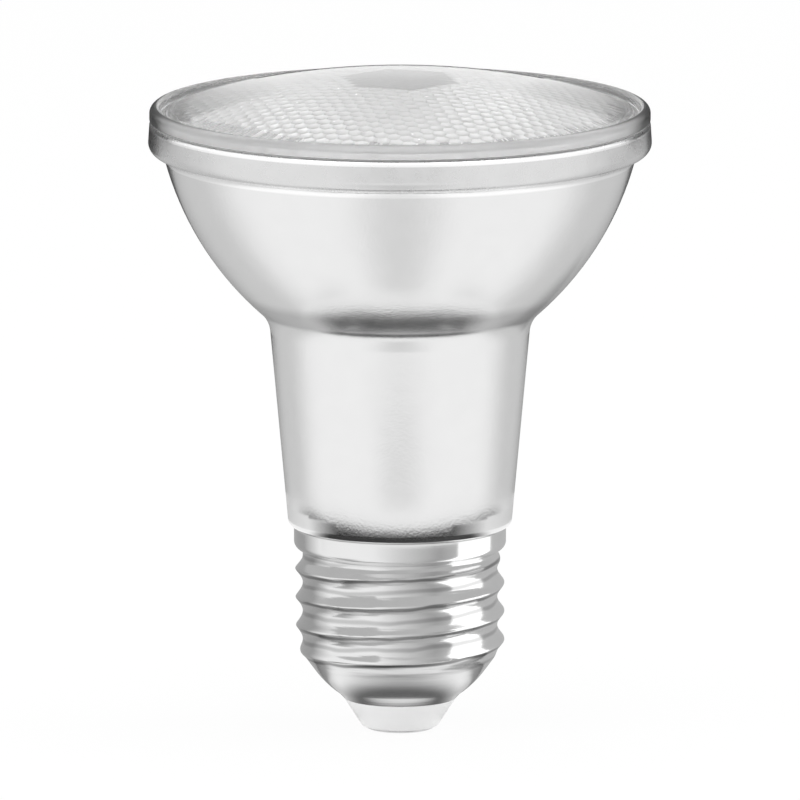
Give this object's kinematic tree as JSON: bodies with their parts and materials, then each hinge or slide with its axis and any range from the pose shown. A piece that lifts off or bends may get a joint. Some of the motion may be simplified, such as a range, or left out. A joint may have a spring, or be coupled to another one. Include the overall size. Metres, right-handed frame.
{
  "type": "par spotlight bulb",
  "caption": "Reflector spotlight bulb: mirrored glass bowl and neck, honeycomb front lens, LED board and driver inside, threaded screw cap with insulator and contact.",
  "frame": {"origin": "middle of the centre contact's under face, at the bottom of the screw cap", "axes": "+Z along the bulb's axis from the cap to the lens; the picture looks along +Y from about 10 degrees above; +X to the right"},
  "size_m": [0.0635, 0.0634, 0.0837],
  "materials": {
    "lens_glass": "clear pressed glass",
    "bond": "clear adhesive",
    "mirrored_glass": "pressed glass with an aluminium coat inside, satin outside",
    "spun_aluminium": "satin",
    "thermal_pad": "matt",
    "board_white": "white solder mask on an aluminium core",
    "led_package": "phosphor window in a white frame",
    "screw_steel": "zinc plated",
    "housing_white": "moulded",
    "board_green": "solder mask",
    "ferrite": "matt",
    "bobbin_black": "moulded",
    "enamelled_copper": "enamelled",
    "can_aluminium": "sleeved can",
    "film_yellow": "gloss",
    "varistor_blue": "dipped",
    "resistor_body": "lacquered",
    "chip_black": "moulded",
    "red_wire": "gloss",
    "black_wire": "gloss",
    "nickel": "bright nickel plate",
    "cement": "matt",
    "insulator_white": "gloss",
    "contact_metal": "nickel plated"
  },
  "bodies": {
    "root": {"board_screws": "screw_steel", "bridge_rectifier": "chip_black", "cap_cement": "cement", "cap_insulator": "insulator_white", "cap_shell": "nickel", "centre_contact": "contact_metal", "chip_resistor_1": "chip_black", "chip_resistor_2": "chip_black", "chip_resistor_3": "chip_black", "chip_resistor_4": "chip_black", "choke_core": "ferrite", "choke_winding": "enamelled_copper", "driver_board": "board_green", "driver_chip": "chip_black", "driver_housing": "housing_white", "film_capacitor": "film_yellow", "front_lens": "lens_glass", "fusible_resistor": "resistor_body", "heat_spreader": "spun_aluminium", "input_capacitor": "can_aluminium", "led_1": "led_package", "led_2": "led_package", "led_3": "led_package", "led_4": "led_package", "led_5": "led_package", "led_6": "led_package", "led_7": "led_package", "led_board": "board_white", "led_lead_minus": "black_wire", "led_lead_plus": "red_wire", "lens_seal": "bond", "live_wire": "red_wire", "neutral_wire": "black_wire", "output_capacitor": "can_aluminium", "rectifier_diode": "chip_black", "reflector_body": "mirrored_glass", "thermal_pad": "thermal_pad", "transformer_bobbin": "bobbin_black", "transformer_core": "ferrite", "transformer_winding": "enamelled_copper", "varistor": "varistor_blue"}
  },
  "joints": []
}
